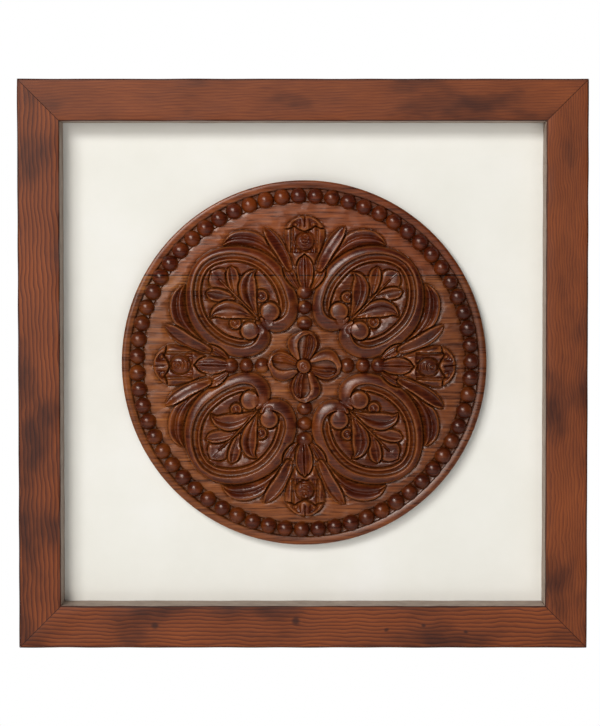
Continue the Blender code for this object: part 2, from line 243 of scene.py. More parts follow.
def look(place, reach, turn, side=1):
    """Window of the map round a place, with its shares outward and sideways."""
    cos, sin = math.cos(turn), math.sin(turn)
    middle_x = place[0] * cos - place[1] * side * sin + DESIGN_SHIFT[0]
    middle_y = place[0] * sin + place[1] * side * cos + DESIGN_SHIFT[1]
    spans = []
    for middle in (middle_y, middle_x):
        low = (middle - reach + MAP_REACH) / (2 * MAP_REACH) * (MAP_SIDE - 1)
        high = (middle + reach + MAP_REACH) / (2 * MAP_REACH) * (MAP_SIDE - 1)
        spans.append(slice(max(int(low), 0), min(int(high) + 2, MAP_SIDE)))
    spot = tuple(spans)
    x, y = MAP_X[spot], MAP_Y[spot]
    return spot, x * cos + y * sin, (y * cos - x * sin) * side


def lay(spot, rise, edge, moat=MOAT, wall=WALL, open_moat=1.0, floor=CUT_FLOOR):
    """Cut a groove round a form, then set the form in the map. Edge is inside its outline."""
    patch = height[spot]
    cut = (1 - smooth(-edge / moat)) * open_moat
    patch -= np.clip(patch - floor, 0, None) * cut
    cover = smooth(edge / wall)
    patch[:] = patch * (1 - cover) + rise * cover


def drawn_line(rows, steps):
    """Even steps along a curve through the rows, and how far along each one is."""
    points = np.array(rows, float)
    ends = np.vstack([2 * points[0] - points[1], points, 2 * points[-1] - points[-2]])
    share = np.linspace(0, 1, 16, endpoint=False)[:, None]
    dense = []
    for p0, p1, p2, p3 in zip(ends, ends[1:], ends[2:], ends[3:]):
        dense.append(
            p1 + 0.5 * share * (
                p2 - p0 + share * (
                    2 * p0 - 5 * p1 + 4 * p2 - p3 + share * (3 * (p1 - p2) + p3 - p0))))
    dense = np.vstack(dense + [points[-1:]])
    hops = np.diff(dense[:, :2], axis=0)
    travel = np.concatenate([[0], np.cumsum(np.hypot(hops[:, 0], hops[:, 1]))])
    even = np.linspace(0, travel[-1], steps)
    columns = [np.interp(even, travel, dense[:, k]) for k in range(3)]
    return np.column_stack(columns), even


INNER_STEP = 0.02
NARROWEST = 0.002


def carve_line(
        rows, profile, turn, side=1, steps=70, inner=0.0, sink=0.0,
        moat=MOAT, wall=WALL, floor=CUT_FLOOR):
    """Form along a line. The profile gives heights from its right edge, -1, to its left, 1.

    Inner carries the profile on past the right edge, in steps of INNER_STEP. Sink lowers
    the near end.
    """
    line, along = drawn_line(rows, steps)
    middle = (line[:, :2].min(0) + line[:, :2].max(0)) / 2
    reach = np.hypot(*(line[:, :2] - middle).T).max() + line[:, 2].max() + inner + 2 * moat
    spot, a, b = look(middle, reach, turn, side)
    nearest = np.empty(a.shape, int)
    for row in range(0, a.shape[0], 24):
        part = slice(row, row + 24)
        gap = (a[part, :, None] - line[:, 0]) ** 2 + (b[part, :, None] - line[:, 1]) ** 2
        nearest[part] = gap.argmin(-1)
    run = np.gradient(line[:, :2], axis=0)
    run /= np.hypot(run[:, 0], run[:, 1])[:, None]
    da = a - line[nearest, 0]
    db = b - line[nearest, 1]
    forward = da * run[nearest, 0] + db * run[nearest, 1]
    across = db * run[nearest, 0] - da * run[nearest, 1]
    over = np.where(nearest == 0, -forward, np.where(nearest == steps - 1, forward, 0))
    away = np.hypot(across, np.clip(over, 0, None))
    step = along[1] - along[0]
    slope = np.gradient(line[:, 2]) / step
    half = np.maximum(line[nearest, 2] + slope[nearest] * forward, NARROWEST)
    share = np.clip((along[nearest] + forward) / along[-1], 0, 1)
    place = across / half
    edge = half - away
    if inner:
        place = np.where(across < -half, -1 + (across + half) / INNER_STEP, place)
        reached = np.where(across < 0, across + half + inner, edge)
        edge = np.where(over > 0, edge, reached)
    marks, rises = zip(*profile)
    rise = np.interp(place, marks, rises)
    rise = rise - sink * (1 - smooth(share / 0.3))
    lay(spot, rise, edge, moat, wall, floor=floor)


def carve_round(
        place, radius, profile, turn, side=1, moat=MOAT, merge=None, floor=CUT_FLOOR):
    """Round form. Merge is the direction, in radians, where no groove parts it.

    The profile gives heights from the middle, 0, to the edge, 1.
    """
    spot, a, b = look(place, radius + 2 * moat, turn, side)
    away = np.hypot(a - place[0], b - place[1])
    marks, rises = zip(*profile)
    rise = np.interp(away / radius, marks, rises)
    open_moat = 1.0
    if merge is not None:
        round_by = np.arctan2(b - place[1], a - place[0]) - merge
        off = np.abs((round_by + math.pi) % (2 * math.pi) - math.pi)
        open_moat = smooth((off - 0.75) / 0.5)
        rise = rises[0] + (rise - rises[0]) * open_moat
    lay(spot, rise, radius - away, moat, open_moat=open_moat, floor=floor)


QUARTER = math.pi / 2
ALL_ROUND = 2 * math.pi

# Scroll band of a cartouche from one eye out to its far end: outward, sideways, half-width.
SCROLL_HALF = (
    (0.352, 0.014, 0.008), (0.322, 0.009, 0.016), (0.290, 0.018, 0.027),
    (0.262, 0.042, 0.034), (0.245, 0.075, 0.036), (0.242, 0.108, 0.0345),
    (0.254, 0.150, 0.032), (0.290, 0.196, 0.030), (0.340, 0.228, 0.029),
    (0.410, 0.256, 0.028), (0.489, 0.266, 0.027), (0.560, 0.261, 0.0255),
    (0.628, 0.239, 0.024), (0.695, 0.198, 0.022), (0.752, 0.143, 0.020),
    (0.793, 0.078, 0.018), (0.809, 0.020, 0.017),
)
SCROLL_LOOP = SCROLL_HALF + tuple((u, -v, w) for u, v, w in reversed(SCROLL_HALF))
SCROLL_PROFILE = (
    (-3.4, 17.0), (-3.15, 18.6), (-2.85, 19.4), (-2.6, 18.8), (-2.2, 16.4), (-1.8, 15.6),
    (-1.4, 15.6), (-1.2, 17.0), (-1.08, 20.8), (-1.0, 22.6), (-0.8, 23.0), (-0.3, 22.6),
    (0.3, 21.3), (0.75, 19.4), (1.0, 17.6),
)
FIELD_MIDDLE = 0.535
FIELD_REACH = (0.228, 0.206)
FIELD_LOW = 14.8
FIELD_DISH = 3.5
FIELD_RIM = (1.12, 0.06)
SCROLL_INNER = 0.047
EYE = (0.345, 0.077)
EYE_RADIUS = 0.053
EYE_MERGE = -2.2
EYE_PROFILE = ((0.0, 22.6), (0.6, 22.5), (0.85, 21.9), (1.0, 20.4))
EYE_BRIDGE = ((0.336, 0.062, 0.034), (0.320, 0.043, 0.032), (0.302, 0.030, 0.026))
EYE_BRIDGE_PROFILE = ((-1.0, 20.4), (-0.5, 21.7), (0.5, 21.7), (1.0, 20.4))

SPRAY_LEAF = (
    (0.375, 0.006, 0.010), (0.425, 0.026, 0.028), (0.475, 0.050, 0.044),
    (0.518, 0.083, 0.049), (0.545, 0.122, 0.036), (0.552, 0.150, 0.019),
    (0.548, 0.175, 0.004),
)
SPRAY_LEAF_PROFILE = (
    (-1.0, 18.2), (-0.88, 20.6), (-0.6, 21.8), (-0.35, 21.0), (-0.16, 17.6), (0.0, 16.8),
    (0.3, 17.6), (0.6, 19.0), (0.88, 20.2), (1.0, 18.2),
)
SPRAY_LEAFLET = (
    (0.530, 0.012, 0.018), (0.575, 0.040, 0.033), (0.612, 0.064, 0.037),
    (0.642, 0.084, 0.031), (0.656, 0.094, 0.018), (0.661, 0.099, 0.008),
)
SPRAY_LEAFLET_PROFILE = (
    (-1.0, 17.6), (-0.85, 19.8), (-0.6, 20.2), (-0.42, 18.4), (-0.25, 16.6), (0.0, 16.8),
    (0.5, 18.6), (0.82, 20.0), (1.0, 17.6),
)
SPRAY_SHIELD = (
    (0.570, -0.006, 0.010), (0.610, -0.006, 0.036), (0.650, -0.006, 0.058),
    (0.680, -0.006, 0.060), (0.705, -0.006, 0.044), (0.720, -0.006, 0.020),
    (0.728, -0.006, 0.004),
)
SPRAY_SHIELD_PROFILE = (
    (-1.0, 16.6), (-0.85, 18.4), (-0.5, 18.2), (-0.06, 18.0), (0.0, 18.7), (0.06, 18.0),
    (0.5, 18.8), (0.85, 18.6), (1.0, 16.6),
)
SPRAY_STEM = ((0.360, -0.006, 0.005), (0.470, -0.006, 0.006), (0.660, -0.006, 0.004))
SPRAY_STEM_PROFILE = ((-1.0, 18.2), (0.0, 19.6), (1.0, 18.2))
CURL = (0.432, 0.100)
CURL_RADIUS = 0.035
CURL_PROFILE = ((0.0, 20.4), (0.25, 20.2), (0.42, 18.0), (0.55, 18.4), (0.75, 20.4), (1.0, 18.4))
CRESCENT = (
    (0.470, 0.298, 0.010), (0.540, 0.307, 0.022), (0.610, 0.306, 0.038),
    (0.672, 0.288, 0.051), (0.722, 0.254, 0.053), (0.757, 0.216, 0.043),
    (0.775, 0.180, 0.023), (0.780, 0.150, 0.005),
)
CRESCENT_PROFILE = (
    (-1.0, 17.0), (-0.88, 18.6), (-0.72, 17.6), (-0.58, 16.4), (-0.4, 18.8), (-0.2, 20.2),
    (-0.02, 20.0), (0.14, 17.6), (0.24, 17.2), (0.42, 20.0), (0.66, 21.4), (0.88, 20.8),
    (1.0, 18.4),
)

# Palmette on an axis: outward, sideways, half-width.
PALM = (
    (0.438, -0.002, 0.030), (0.475, -0.003, 0.044), (0.520, -0.004, 0.050),
    (0.555, -0.004, 0.045), (0.582, -0.004, 0.031), (0.597, -0.004, 0.014),
    (0.604, -0.004, 0.003),
)
PALM_PROFILE = (
    (-1.0, 18.6), (-0.9, 20.8), (-0.78, 19.8), (-0.6, 18.8), (-0.28, 21.0), (-0.12, 21.2),
    (-0.04, 19.4), (0.0, 18.2), (0.04, 19.4), (0.12, 21.2), (0.28, 21.0), (0.6, 18.8),
    (0.78, 19.8), (0.9, 20.8), (1.0, 18.6),
)
PALM_SIDE = (
    (0.430, 0.040, 0.014), (0.465, 0.062, 0.028), (0.500, 0.083, 0.032),
    (0.528, 0.104, 0.021), (0.545, 0.121, 0.004),
)
PALM_SIDE_PROFILE = (
    (-1.0, 17.8), (-0.86, 19.8), (-0.6, 18.6), (-0.4, 16.6), (-0.12, 17.2), (0.08, 19.4),
    (0.28, 18.2), (0.55, 17.4), (0.86, 19.8), (1.0, 17.8),
)
BLADE = (
    (0.530, 0.086, 0.022), (0.565, 0.100, 0.031), (0.620, 0.126, 0.037),
    (0.680, 0.163, 0.039), (0.722, 0.194, 0.031), (0.747, 0.215, 0.017),
    (0.757, 0.225, 0.005),
)
BLADE_PROFILE = (
    (-1.0, 18.8), (-0.9, 21.2), (-0.78, 20.4), (-0.6, 17.0), (-0.35, 16.8), (0.1, 18.6),
    (0.55, 20.8), (0.85, 21.4), (1.0, 18.8),
)
HOOD_OUTLINE = (
    (0.540, 0.056), (0.580, 0.070), (0.640, 0.098), (0.700, 0.117), (0.745, 0.116),
    (0.780, 0.096), (0.805, 0.067), (0.820, 0.036), (0.828, 0.0),
)
HOOD_FROM, HOOD_TO = 0.545, 0.828
HOOD_SIDE_SLOPE = 0.8
WING_LOW, PANEL_LOW, CAP_LOW = 18.4, 15.2, 19.6
TONGUE_TOP, BUD_TOP = 22.8, 22.2
PANEL_FROM, PANEL_TO, PANEL_HALF = 0.612, 0.775, 0.080
CAP_FROM, CAP_DIP, CAP_HORN = 0.751, 0.016, 0.014
CAP_CURL = (0.774, 0.050, 0.024)
FOLD_STEP, BUD_CUT_STEP = 0.030, 0.018
BUD = (0.679, -0.004, 0.053)

# Flower in the middle: each petal is a plump bulb with a ribbed spoon cut in its right side.
PETAL = (
    (0.026, 0.004, 0.030), (0.066, 0.006, 0.066), (0.110, 0.002, 0.089),
    (0.148, -0.002, 0.084), (0.176, -0.004, 0.060), (0.190, -0.004, 0.034),
    (0.197, -0.004, 0.010),
)
PETAL_PROFILE = (
    (-1.0, 16.0), (-0.9, 17.6), (-0.82, 19.8), (-0.72, 21.2), (-0.2, 22.8), (0.35, 23.8),
    (0.6, 23.6), (0.82, 21.8), (0.94, 19.6), (1.0, 17.0),
)
SPOON = (
    (0.030, -0.002, 0.024), (0.066, -0.013, 0.040), (0.105, -0.019, 0.052),
    (0.136, -0.022, 0.051), (0.158, -0.024, 0.038), (0.169, -0.025, 0.020),
    (0.174, -0.025, 0.006),
)
SPOON_PROFILE = (
    (-1.0, 21.8), (-0.9, 21.4), (-0.72, 18.6), (-0.6, 18.6), (-0.42, 20.8), (-0.22, 18.0),
    (-0.02, 20.0), (0.16, 17.4), (0.4, 16.4), (0.75, 16.0), (0.92, 16.6), (1.0, 21.0),
)
BOSS_PROFILE = (
    (0.0, 25.2), (0.10, 25.1), (0.20, 24.5), (0.32, 25.7), (0.55, 25.4), (0.8, 24.0),
    (1.0, 20.5),
)
BOSS_RADIUS = 0.041

# Cartouches on the diagonals: dish, crescents, scroll, eyes and curls, then the leaf spray.
for quarter in range(4):
    turn = (quarter + 0.5) * QUARTER
    spot, a, b = look((FIELD_MIDDLE, 0.0), 0.30, turn)
    inside = np.hypot((a - FIELD_MIDDLE) / FIELD_REACH[0], b / FIELD_REACH[1])
    dish = FIELD_LOW + FIELD_DISH * np.clip(inside, 0, 1.05) ** 2.4
    field = smooth((FIELD_RIM[0] - inside) / FIELD_RIM[1])
    height[spot] += (dish - GROUND) * field
    for side in (1, -1):
        carve_line(CRESCENT, CRESCENT_PROFILE, turn, side, sink=2.0)
    carve_line(SCROLL_LOOP, SCROLL_PROFILE, turn, -1, steps=300, inner=SCROLL_INNER)
    for side in (1, -1):
        carve_line(
            EYE_BRIDGE, EYE_BRIDGE_PROFILE, turn, side, moat=THIN_MOAT, wall=0.014,
            floor=NO_GROOVE)
        carve_round(EYE, EYE_RADIUS, EYE_PROFILE, turn, side, merge=EYE_MERGE)
        carve_round(CURL, CURL_RADIUS, CURL_PROFILE, turn, side)
    carve_line(SPRAY_SHIELD, SPRAY_SHIELD_PROFILE, turn, moat=0.008)
    for side in (1, -1):
        carve_line(SPRAY_LEAFLET, SPRAY_LEAFLET_PROFILE, turn, side, moat=0.009)
    for side in (1, -1):
        carve_line(SPRAY_LEAF, SPRAY_LEAF_PROFILE, turn, side, moat=0.009, sink=1.2)
    carve_line(SPRAY_STEM, SPRAY_STEM_PROFILE, turn, moat=THIN_MOAT, wall=0.003, floor=16.0)

# Palmettes on the axes: side leaves and blades, the hood, then the middle leaf over them.
for quarter in range(4):
    turn = quarter * QUARTER
    for side in (1, -1):
        carve_line(PALM_SIDE, PALM_SIDE_PROFILE, turn, side)
        carve_line(BLADE, BLADE_PROFILE, turn, side, sink=1.6)

    # Hood: wings, a sunk panel with a folded bud in it, and a shell cap over its outer end.
    spot, a, b = look((0.69, 0.0), 0.18, turn)
    wide = np.interp(a, *zip(*HOOD_OUTLINE))
    aside = np.abs(b)
    edge = np.minimum((wide - aside) * HOOD_SIDE_SLOPE, np.minimum(a - HOOD_FROM, HOOD_TO - a))
    wings = WING_LOW + 2.6 * smooth((wide - aside) / 0.03)
    sunk = np.minimum(PANEL_HALF - aside, np.minimum(a - PANEL_FROM, PANEL_TO - a)) / 0.006
    panel = PANEL_LOW + 2.6 * smooth((0.068 - aside) / 0.012)
    folds = smooth((0.655 - a) / 0.02) * (1.2 + 1.3 * np.cos(b * ALL_ROUND / FOLD_STEP))
    lay(spot, wings + (panel + folds - wings) * smooth(sunk), edge)
    front = CAP_FROM - CAP_DIP * np.exp(-(b / 0.026) ** 2)
    front += CAP_HORN * np.exp(-((aside - 0.060) / 0.016) ** 2)
    rolled = np.minimum((wide - aside) * HOOD_SIDE_SLOPE, 0.826 - a)
    cap = CAP_LOW + 3.0 * smooth(rolled / 0.014) - 2.4 * smooth((rolled - 0.016) / 0.012)
    tongue = smooth((0.030 - aside) / 0.012) * smooth((0.822 - a) / 0.02)
    cap += (TONGUE_TOP - cap) * tongue
    cap -= 2.6 * (1 - smooth((aside - 0.001) / 0.004)) * smooth((a - 0.758) / 0.01)
    curl_out = np.hypot(a - CAP_CURL[0], aside - CAP_CURL[1])
    curl_wave = np.cos(curl_out / CAP_CURL[2] * 1.6 * math.pi)
    cap += 1.6 * curl_wave * smooth((0.026 - curl_out) / 0.006)
    lay(spot, cap, np.minimum(edge, a - front), moat=0.007)
    bud_out = np.hypot(a - BUD[0], b - BUD[1])
    arc = np.hypot(a - BUD[0] - 0.020, b - BUD[1])
    cuts = np.cos(arc * ALL_ROUND / BUD_CUT_STEP)
    cuts *= smooth((0.026 - np.abs(b - BUD[1])) / 0.012)
    bud = BUD_TOP - 3.4 * (bud_out / BUD[2]) ** 2 + 1.1 * cuts
    lay(spot, bud, BUD[2] - bud_out, moat=0.008, floor=15.0)
    carve_line(PALM, PALM_PROFILE, turn)

# Flower: every petal is laid before the spoons are cut, and the boss comes last.
for quarter in range(4):
    carve_line(PETAL, PETAL_PROFILE, quarter * QUARTER)
for quarter in range(4):
    carve_line(
        SPOON, SPOON_PROFILE, quarter * QUARTER, moat=THIN_MOAT, wall=0.004, floor=NO_GROOVE)
carve_round((0.0, 0.0), BOSS_RADIUS, BOSS_PROFILE, 0.0, moat=0.005, floor=17.5)

# Wrap the map on a round mesh: rings out to the rim, which is turned, then the flat back.
RINGS = 380
SPOKES = 1536
TRIANGLES_KEPT = 150000
RIM_TURNING = (
    (0.9545, 12.7), (0.9556, 14.8), (0.9585, 15.3), (0.9660, 15.7), (0.9780, 16.1),
    (0.9880, 16.2), (0.9945, 15.9), (0.9985, 15.3), (1.0, 14.0), (1.0, 7.0), (1.0, 0.6),
    (0.9985, 0.0),
)


def read_map(grid, x, y):
    """Values of a map at places given in shares of the radius."""
    at_x = np.clip((x + MAP_REACH) / (2 * MAP_REACH) * (MAP_SIDE - 1), 0, MAP_SIDE - 1.001)
    at_y = np.clip((y + MAP_REACH) / (2 * MAP_REACH) * (MAP_SIDE - 1), 0, MAP_SIDE - 1.001)
    col, row = at_x.astype(int), at_y.astype(int)
    fx, fy = at_x - col, at_y - row
    below = grid[row, col] * (1 - fx) + grid[row, col + 1] * fx
    above = grid[row + 1, col] * (1 - fx) + grid[row + 1, col + 1] * fx
    return below * (1 - fy) + above * fy


def carving_point(x, y, rise):
    """Place in the object of a map place and a height in millimetres."""
    return np.column_stack([
        CARVING_X + x * RADIUS, CARVING_BACK_Y - rise / 1000, CARVING_Z + y * RADIUS])


shares = np.linspace(0, RIM_TURNING[0][0], RINGS)[1:-1]
spin = np.linspace(0, ALL_ROUND, SPOKES, endpoint=False)
ring_points = []
for share in shares:
    x, y = share * np.cos(spin), share * np.sin(spin)
    ring_points.append(carving_point(x, y, read_map(height, x, y)))
for share, rise in RIM_TURNING:
    x, y = share * np.cos(spin), share * np.sin(spin)
    ring_points.append(carving_point(x, y, np.full(SPOKES, rise)))
zero = np.zeros(1)
centre_front = carving_point(zero, zero, read_map(height, zero, zero))
centre_back = carving_point(zero, zero, zero)
disc_verts = np.vstack([centre_front] + ring_points + [centre_back])
rows_of_rings = len(ring_points)
here = np.arange(SPOKES)
after = (here + 1) % SPOKES
faces = [np.column_stack([np.zeros(SPOKES, int), 1 + here, 1 + after])]
for ring in range(rows_of_rings - 1):
    near, far = 1 + ring * SPOKES, 1 + (ring + 1) * SPOKES
    faces.append(np.column_stack([near + here, far + here, far + after]))
    faces.append(np.column_stack([near + here, far + after, near + after]))
last = 1 + (rows_of_rings - 1) * SPOKES
back_middle = np.full(SPOKES, len(disc_verts) - 1)
faces.append(np.column_stack([last + here, back_middle, last + after]))
disc_faces = np.vstack(faces)

disc_mesh = bpy.data.meshes.new("carved_disc")
disc_mesh.vertices.add(len(disc_verts))
disc_mesh.vertices.foreach_set("co", disc_verts.ravel())
disc_mesh.loops.add(disc_faces.size)
disc_mesh.loops.foreach_set("vertex_index", disc_faces.ravel())
disc_mesh.polygons.add(len(disc_faces))
disc_mesh.polygons.foreach_set("loop_start", np.arange(0, disc_faces.size, 3))
disc_mesh.update(calc_edges=True)
disc_mesh.validate()
disc = bpy.data.objects.new("carved_disc", disc_mesh)
bpy.context.scene.collection.objects.link(disc)
thin = disc.modifiers.new("thin_out", "DECIMATE")
thin.ratio = TRIANGLES_KEPT / len(disc_faces)

# Stained hardwood, carved: glossy wax over a red-brown stain that is dark on the high forms and
# paler on the ground.
# Orange along the arrises is wear with a painted highlight. The darkest tone in the cuts is stain
# with painted shade.
carved_wood, tree, shader = new_material("stained_carved_hardwood_painted_light")
coords = add_node(tree, "ShaderNodeTexCoord")
GRAIN_LENGTH = 0.045
GRAIN_WIDTH = 0.0022
CLOUDS_PER_METRE = 30.0
PLANK_JOINTS = (0.07, 0.394, 0.476)
grain_map = add_node(
    tree, "ShaderNodeMapping",
    {"Scale": (1 / GRAIN_LENGTH, 1 / GRAIN_WIDTH / 3, 1 / GRAIN_WIDTH)},
    {"Vector": coords.outputs["Object"]})
grain = add_node(
    tree, "ShaderNodeTexNoise",
    {"Scale": 1.0, "Detail": 4.0, "Roughness": 0.6, "Distortion": 0.3},
    {"Vector": grain_map.outputs[0]})
cloud = add_node(
    tree, "ShaderNodeTexNoise",
    {"Scale": CLOUDS_PER_METRE, "Detail": 3.0, "Roughness": 0.6},
    {"Vector": coords.outputs["Object"]})
cut_stain_and_shade = add_node(tree, "ShaderNodeAttribute", {"attribute_name": "cut_stain_and_shade"})
level = add_node(tree, "ShaderNodeAttribute", {"attribute_name": "level"})
arris_wear_and_highlight = add_node(tree, "ShaderNodeAttribute", {"attribute_name": "arris_wear_and_highlight"})
form_tone = add_node(tree, "ShaderNodeValToRGB", None, {"Fac": grain.outputs["Fac"]})
fill_ramp(form_tone, ((0.25, "341006"), (0.45, "481A07"), (0.6, "5C250A"), (0.8, "783810")))
patchy = add_node(
    tree, "ShaderNodeMapRange",
    {"From Min": 0.48, "From Max": 0.66, "To Max": 0.6}, {"Value": cloud.outputs["Fac"]})
faded_tone = add_node(
    tree, "ShaderNodeMix", {"data_type": "RGBA", 7: linear("8C4A14")},
    {"Factor": patchy.outputs[0], 6: form_tone.outputs[0]})
ground_tone = add_node(tree, "ShaderNodeValToRGB", None, {"Fac": grain.outputs["Fac"]})
fill_ramp(ground_tone, ((0.32, "42200E"), (0.42, "6E3C18"), (0.55, "8E5220"), (0.72, "A66828")))
by_level = add_node(
    tree, "ShaderNodeMix", {"data_type": "RGBA"},
    {"Factor": level.outputs["Fac"], 6: ground_tone.outputs[0], 7: faded_tone.outputs[2]})
place_on_disc = add_node(tree, "ShaderNodeSeparateXYZ", None, {0: coords.outputs["Object"]})
across_disc = add_node(
    tree, "ShaderNodeMapRange",
    {"From Min": CARVING_X - RADIUS, "From Max": CARVING_X + RADIUS},
    {"Value": place_on_disc.outputs[0]})
# Painted sheen: the wood's colour is multiplied lighter at the left of the disc and darker at the
# right, as the key light's sheen falls.
painted_sheen_from_left = add_node(tree, "ShaderNodeValToRGB", None, {"Fac": across_disc.outputs[0]})
fill_ramp(painted_sheen_from_left, ((0.05, "FFFFFF"), (0.35, "FAF6F4"), (0.7, "E4D8D4"), (0.95, "D2C6C4")))
with_painted_sheen = add_node(
    tree, "ShaderNodeMix", {"data_type": "RGBA", "blend_type": "MULTIPLY", "Factor": 1.0},
    {6: by_level.outputs[2], 7: painted_sheen_from_left.outputs[0]})
up_disc = add_node(
    tree, "ShaderNodeMapRange",
    {"From Min": CARVING_Z - RADIUS, "From Max": CARVING_Z + RADIUS},
    {"Value": place_on_disc.outputs[2]})
plank = add_node(tree, "ShaderNodeValToRGB", None, {"Fac": up_disc.outputs[0]})
plank.color_ramp.interpolation = "CONSTANT"
joint_1, joint_2, joint_3 = [(1 + joint) / 2 for joint in PLANK_JOINTS]
fill_ramp(
    plank,
    ((0.0, "E8DCD4"), (joint_1, "E2D6D0"), (joint_2 - 0.001, "B09C90"),
     (joint_2 + 0.001, "FFFFFF"), (joint_3 - 0.0015, "6A5048"), (joint_3 + 0.0005, "F0D6CC")))
in_planks = add_node(
    tree, "ShaderNodeMix", {"data_type": "RGBA", "blend_type": "MULTIPLY", "Factor": 1.0},
    {6: with_painted_sheen.outputs[2], 7: plank.outputs[0]})
# Orange on the arrises: wear with a painted highlight along the edges that stand out of their
# surroundings.
arris_wear_and_highlight_mix = add_node(
    tree, "ShaderNodeMix", {"data_type": "RGBA", 7: linear("9C5A2C")},
    {"Factor": arris_wear_and_highlight.outputs["Fac"], 6: in_planks.outputs[2]})
# Near black in the cuts: stain with painted shade, deepest where the surface lies lowest under
# its surroundings.
cut_stain_and_shade_mix = add_node(
    tree, "ShaderNodeMix", {"data_type": "RGBA", 7: linear("180503")},
    {"Factor": cut_stain_and_shade.outputs["Fac"], 6: arris_wear_and_highlight_mix.outputs[2]})
tree.links.new(cut_stain_and_shade_mix.outputs[2], shader.inputs["Base Color"])
gloss = add_node(
    tree, "ShaderNodeMapRange",
    {"From Min": 0.3, "From Max": 0.7, "To Min": 0.24, "To Max": 0.36},
    {"Value": grain.outputs["Fac"]})
tree.links.new(gloss.outputs[0], shader.inputs["Roughness"])
shader.inputs["Specular Tint"].default_value = linear("FFEFE7")
grain_bump = add_node(
    tree, "ShaderNodeBump", {"Strength": 0.25, "Distance": 0.0003},
    {"Height": grain.outputs["Fac"]})
tree.links.new(grain_bump.outputs[0], shader.inputs["Normal"])

# Beads: carved in the round with the disc, 63 in the ring and three on each arm.
BEAD_MIDDLE = 0.0128
BEAD_LEAST, BEAD_MOST = 0.95, 1.03
LUMPS_PER_METRE = 90.0
beads = bpy.data.node_groups.new("carved_beads", "GeometryNodeTree")
face = beads.interface
face.new_socket("Geometry", in_out="INPUT", socket_type="NodeSocketGeometry")
bead_sizes = {
    "Ring beads": 63, "Ring radius": RING_AT * RADIUS, "Ring turn": 0.0091,
    "Ring radial": 0.0472 * RADIUS, "Ring along": 0.0466 * RADIUS, "Bead rise": 0.0092,
    "Arm start": ARM_FIRST * RADIUS, "Arm pitch": ARM_STEP * RADIUS,
    "Arm radial": 0.0428 * RADIUS, "Arm along": 0.0445 * RADIUS,
    "Arm shift x": DESIGN_SHIFT[0] * RADIUS, "Arm shift z": DESIGN_SHIFT[1] * RADIUS,
    "Unevenness": 0.0006, "Seed": 4,
}
sockets = {}
for name, value in bead_sizes.items():
    kind = "NodeSocketInt" if isinstance(value, int) else "NodeSocketFloat"
    sockets[name] = face.new_socket(name, in_out="INPUT", socket_type=kind)
sockets["Wood"] = face.new_socket("Wood", in_out="INPUT", socket_type="NodeSocketMaterial")
face.new_socket("Geometry", in_out="OUTPUT", socket_type="NodeSocketGeometry")
start = add_node(beads, "NodeGroupInput").outputs
ball = add_node(beads, "GeometryNodeMeshUVSphere", {"Segments": 24, "Rings": 14, "Radius": 1.0})
place = add_node(beads, "GeometryNodeInputPosition")
number = add_node(beads, "GeometryNodeInputIndex")
ring = add_node(
    beads, "GeometryNodeMeshCircle", None,
    {"Vertices": start["Ring beads"], "Radius": start["Ring radius"]})
outward = add_node(
    beads, "FunctionNodeAlignRotationToVector", {"axis": "X"}, {"Vector": place.outputs[0]})
vary = add_node(
    beads, "FunctionNodeRandomValue", {"data_type": "FLOAT", 2: BEAD_LEAST, 3: BEAD_MOST},
    {"Seed": start["Seed"]})
ring_size = add_node(
    beads, "ShaderNodeCombineXYZ", None,
    {0: start["Ring radial"], 1: start["Ring along"], 2: start["Bead rise"]})
ring_vary = add_node(
    beads, "ShaderNodeVectorMath", {"operation": "SCALE"},
    {0: ring_size.outputs[0], "Scale": vary.outputs[1]})
ring_beads = add_node(
    beads, "GeometryNodeInstanceOnPoints", None,
    {"Points": ring.outputs[0], "Instance": ball.outputs[0], "Rotation": outward.outputs[0],
     "Scale": ring_vary.outputs[0]})
arm_start = add_node(beads, "ShaderNodeCombineXYZ", None, {0: start["Arm start"]})
arm_pitch = add_node(beads, "ShaderNodeCombineXYZ", None, {0: start["Arm pitch"]})
arm = add_node(
    beads, "GeometryNodeMeshLine", {"Count": 3},
    {"Start Location": arm_start.outputs[0], "Offset": arm_pitch.outputs[0]})
arm_size = add_node(
    beads, "ShaderNodeCombineXYZ", None,
    {0: start["Arm radial"], 1: start["Arm along"], 2: start["Bead rise"]})
arm_vary = add_node(
    beads, "ShaderNodeVectorMath", {"operation": "SCALE"},
    {0: arm_size.outputs[0], "Scale": vary.outputs[1]})
arm_beads = add_node(
    beads, "GeometryNodeInstanceOnPoints", None,
    {"Points": arm.outputs[0], "Instance": ball.outputs[0], "Scale": arm_vary.outputs[0]})
hub = add_node(beads, "GeometryNodePoints", {"Count": 4})
quarter_turn = add_node(
    beads, "ShaderNodeMath", {"operation": "MULTIPLY", 1: QUARTER}, {0: number.outputs[0]})
hub_turn = add_node(beads, "ShaderNodeCombineXYZ", None, {2: quarter_turn.outputs[0]})
hub_rotation = add_node(beads, "FunctionNodeEulerToRotation", None, {0: hub_turn.outputs[0]})
arms = add_node(
    beads, "GeometryNodeInstanceOnPoints", None,
    {"Points": hub.outputs[0], "Instance": arm_beads.outputs[0],
     "Rotation": hub_rotation.outputs[0]})
ring_turn = add_node(beads, "ShaderNodeCombineXYZ", None, {2: start["Ring turn"]})
ring_turned = add_node(
    beads, "GeometryNodeTransform", None,
    {"Geometry": ring_beads.outputs[0], "Rotation": ring_turn.outputs[0]})
arm_shift = add_node(
    beads, "ShaderNodeCombineXYZ", None, {0: start["Arm shift x"], 1: start["Arm shift z"]})
arms_moved = add_node(
    beads, "GeometryNodeTransform", None,
    {"Geometry": arms.outputs[0], "Translation": arm_shift.outputs[0]})
both = add_node(beads, "GeometryNodeJoinGeometry", None, {0: ring_turned.outputs[0]})
beads.links.new(arms_moved.outputs[0], both.inputs[0])
